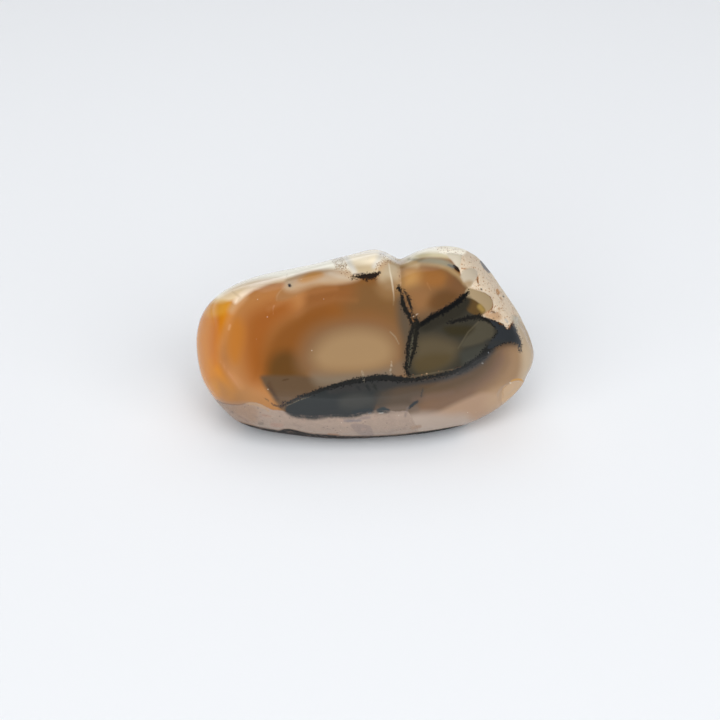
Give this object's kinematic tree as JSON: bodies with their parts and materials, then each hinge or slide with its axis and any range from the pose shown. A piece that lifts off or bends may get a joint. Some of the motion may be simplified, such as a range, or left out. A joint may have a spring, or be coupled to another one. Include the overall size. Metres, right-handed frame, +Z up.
{
  "type": "dendritic opal",
  "caption": "Hand-polished freeform of dendritic opal with flats ground on its face and ends, standing on a level ground base.",
  "frame": {"origin": "the middle of the underside of the stone's box, in the plane of the ground base", "axes": "+Z up, +X to the right along the stone's length as its face is seen, and -Y out in front of the face"},
  "size_m": [0.0598, 0.0322, 0.0318],
  "materials": {
    "opal": "polished, translucent amber and brown, with black dendrites and a matte cream matrix"
  },
  "bodies": {
    "root": {"opal": "opal"}
  },
  "joints": []
}
